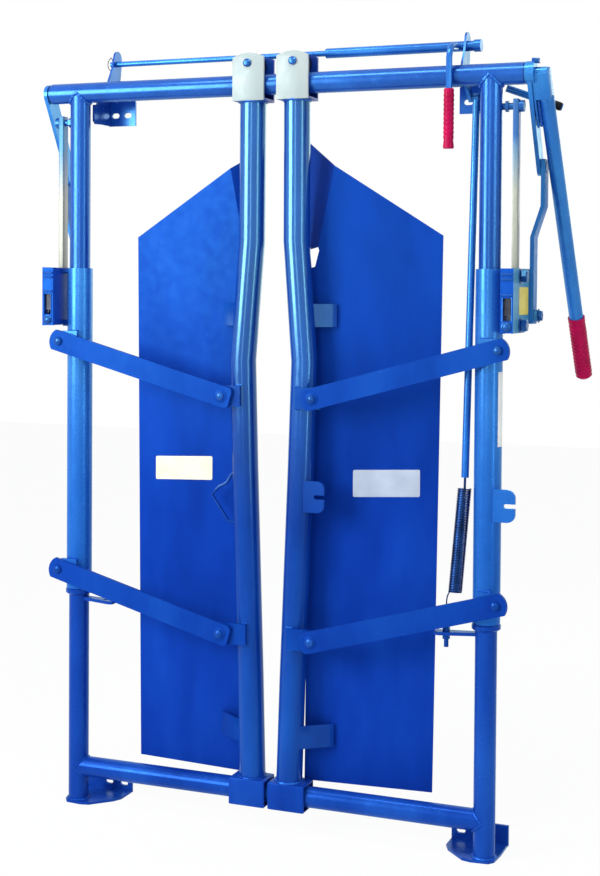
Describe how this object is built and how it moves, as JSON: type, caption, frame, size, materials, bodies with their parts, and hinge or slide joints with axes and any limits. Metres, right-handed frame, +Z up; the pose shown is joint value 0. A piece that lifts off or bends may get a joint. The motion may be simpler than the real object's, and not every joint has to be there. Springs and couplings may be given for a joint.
{
  "type": "cattle head gate",
  "caption": "Free-standing cattle head gate: tube frame, two sliding gate halves with sheet panels, link-driven by sleeves on the posts, with hand lever, latches and closing spring",
  "frame": {"origin": "bottom centre of the bounding box, on the ground", "axes": "+Z up; +X to the right of an operator who faces the gate; +Y away from that operator, towards the animal"},
  "size_m": [1.335, 0.4566, 1.907],
  "materials": {
    "panel_paint": "gloss paint on flat sheet",
    "grip_rubber": "ribbed soft grip, crimson",
    "bright_steel": "bare flat bar, blue paint at its ends",
    "spring_steel": "near-black coated coil",
    "dark_steel": "dark oiled steel",
    "bolt_paint": "painted fasteners",
    "lever_paint": "gloss paint",
    "selector_paint": "gloss paint",
    "saddle_paint": "gloss paint, pale where it faces the light",
    "gate_paint": "gloss paint",
    "sleeve_paint": "gloss paint",
    "frame_paint": "gloss paint"
  },
  "bodies": {
    "frame": {"top_beam": "frame_paint", "bottom_beam": "frame_paint", "spring_eye_bolt": "bolt_paint", "closing_spring": "spring_steel", "left_post": "frame_paint", "left_foot": "frame_paint", "left_top_bracket": "frame_paint", "left_rod_hanger": "frame_paint", "left_shaft_bushing": "bolt_paint", "left_lock_bar": "bright_steel", "left_lock_bar_bolt": "bolt_paint", "left_spring_bracket": "frame_paint", "right_post": "frame_paint", "right_foot": "frame_paint", "right_top_bracket": "frame_paint", "right_rod_hanger": "frame_paint", "right_shaft_bushing": "bolt_paint", "right_lock_bar": "bright_steel", "right_lock_bar_bolt": "bolt_paint", "right_spring_bracket": "frame_paint"},
    "lever_assembly": {"lever_shaft": "lever_paint", "lever": "lever_paint", "lever_grip": "grip_rubber"},
    "spring_hanger": {"spring_rod": "lever_paint"},
    "selector": {"selector_rod": "selector_paint", "selector_grip": "grip_rubber"},
    "left_lift": {"left_sleeve": "sleeve_paint", "left_latch_box": "sleeve_paint", "left_upper_outer_bolt": "bolt_paint", "left_lower_outer_bolt": "bolt_paint"},
    "left_gate": {"left_gate_bar": "gate_paint", "left_saddle": "saddle_paint", "left_saddle_bolt": "bolt_paint", "left_slide_box": "saddle_paint", "left_panel": "panel_paint", "pull_handle": "gate_paint"},
    "left_roller": {"left_saddle_roller": "dark_steel"},
    "left_dog": {"left_latch_dog": "dark_steel"},
    "left_pull": {"left_pull_link": "lever_paint"},
    "left_upper_arm": {"left_upper_link": "gate_paint", "left_upper_inner_bolt": "bolt_paint"},
    "left_lower_arm": {"left_lower_link": "gate_paint", "left_lower_inner_bolt": "bolt_paint"},
    "right_lift": {"right_sleeve": "sleeve_paint", "right_latch_box": "sleeve_paint", "right_upper_outer_bolt": "bolt_paint", "right_lower_outer_bolt": "bolt_paint"},
    "right_gate": {"right_gate_bar": "gate_paint", "right_saddle": "saddle_paint", "right_saddle_bolt": "bolt_paint", "right_slide_box": "saddle_paint", "right_panel": "panel_paint"},
    "right_roller": {"right_saddle_roller": "dark_steel"},
    "right_dog": {"right_latch_dog": "dark_steel"},
    "right_pull": {"right_pull_link": "lever_paint"},
    "right_upper_arm": {"right_upper_link": "gate_paint", "right_upper_inner_bolt": "bolt_paint"},
    "right_lower_arm": {"right_lower_link": "gate_paint", "right_lower_inner_bolt": "bolt_paint"}
  },
  "joints": [
    {"name": "handle_turn", "type": "hinge", "parent": "frame", "child": "lever_assembly", "pos_m": [-0.03, -0.16334, 1.798], "axis": [1, 0, 0], "range_deg": [0, 85.5]},
    {"name": "left_gate_slide", "type": "slide", "parent": "frame", "child": "left_gate", "axis": [-1, 0, 0], "range_m": [0, 0.3005]},
    {"name": "left_lift_slide", "type": "slide", "parent": "frame", "child": "left_lift", "axis": [0, 0, 1], "range_m": [0, 0.317]},
    {"name": "left_upper_link_turn", "type": "hinge", "parent": "left_lift", "child": "left_upper_arm", "pos_m": [-0.595, -0.20909, 1.1728], "axis": [0, 1, 0], "range_deg": [0, 56.2]},
    {"name": "left_lower_link_turn", "type": "hinge", "parent": "left_lift", "child": "left_lower_arm", "pos_m": [-0.595, -0.20909, 0.5968], "axis": [0, 1, 0], "range_deg": [0, 56.2]},
    {"name": "left_pull_turn", "type": "hinge", "parent": "left_lift", "child": "left_pull", "pos_m": [-0.63, -0.05834, 1.25], "axis": [-1, 0, 0], "range_deg": [0, 17.7]},
    {"name": "left_roller_turn", "type": "hinge", "parent": "left_gate", "child": "left_roller", "pos_m": [-0.0885, -0.16334, 1.8475], "axis": [0, -1, 0], "range_deg": [0, 715]},
    {"name": "left_dog_tilt", "type": "hinge", "parent": "left_lift", "child": "left_dog", "pos_m": [-0.618, -0.11484, 1.303], "axis": [-1, 0, 0], "range_deg": [0, 5]},
    {"name": "right_gate_slide", "type": "slide", "parent": "frame", "child": "right_gate", "axis": [1, 0, 0], "range_m": [0, 0.3005]},
    {"name": "right_lift_slide", "type": "slide", "parent": "frame", "child": "right_lift", "axis": [0, 0, 1], "range_m": [0, 0.317]},
    {"name": "right_upper_link_turn", "type": "hinge", "parent": "right_lift", "child": "right_upper_arm", "pos_m": [0.535, -0.20909, 1.1728], "axis": [0, -1, 0], "range_deg": [0, 56.2]},
    {"name": "right_lower_link_turn", "type": "hinge", "parent": "right_lift", "child": "right_lower_arm", "pos_m": [0.535, -0.20909, 0.5968], "axis": [0, -1, 0], "range_deg": [0, 56.2]},
    {"name": "right_pull_turn", "type": "hinge", "parent": "right_lift", "child": "right_pull", "pos_m": [0.57, -0.05834, 1.25], "axis": [-1, 0, 0], "range_deg": [0, 17.7]},
    {"name": "right_roller_turn", "type": "hinge", "parent": "right_gate", "child": "right_roller", "pos_m": [0.0285, -0.16334, 1.8475], "axis": [0, 1, 0], "range_deg": [0, 715]},
    {"name": "right_dog_tilt", "type": "hinge", "parent": "right_lift", "child": "right_dog", "pos_m": [0.558, -0.11484, 1.303], "axis": [-1, 0, 0], "range_deg": [0, 5]},
    {"name": "spring_rod_slide", "type": "slide", "parent": "frame", "child": "spring_hanger", "axis": [0, 0, 1], "range_m": [0, 0.0898], "deforming": ["closing_spring"]},
    {"name": "selector_turn", "type": "hinge", "parent": "frame", "child": "selector", "pos_m": [-0.03, -0.11334, 1.8735], "axis": [-1, 0, 0], "range_deg": [0, 80]}
  ],
  "couplings": [
    {"joint": "left_gate_slide", "follows": "handle_turn", "m_per_rad": 0.20104},
    {"joint": "left_lift_slide", "follows": "handle_turn", "m_per_rad": 0.2121},
    {"joint": "left_upper_link_turn", "follows": "handle_turn", "ratio": 0.65521},
    {"joint": "left_lower_link_turn", "follows": "handle_turn", "ratio": 0.65521},
    {"joint": "left_pull_turn", "follows": "handle_turn", "ratio": 0.20538},
    {"joint": "left_roller_turn", "follows": "handle_turn", "ratio": 8.3418},
    {"joint": "right_gate_slide", "follows": "handle_turn", "m_per_rad": 0.20104},
    {"joint": "right_lift_slide", "follows": "handle_turn", "m_per_rad": 0.2121},
    {"joint": "right_upper_link_turn", "follows": "handle_turn", "ratio": 0.65521},
    {"joint": "right_lower_link_turn", "follows": "handle_turn", "ratio": 0.65521},
    {"joint": "right_pull_turn", "follows": "handle_turn", "ratio": 0.20538},
    {"joint": "right_roller_turn", "follows": "handle_turn", "ratio": 8.3418},
    {"joint": "spring_rod_slide", "follows": "handle_turn", "m_per_rad": 0.060043}
  ]
}
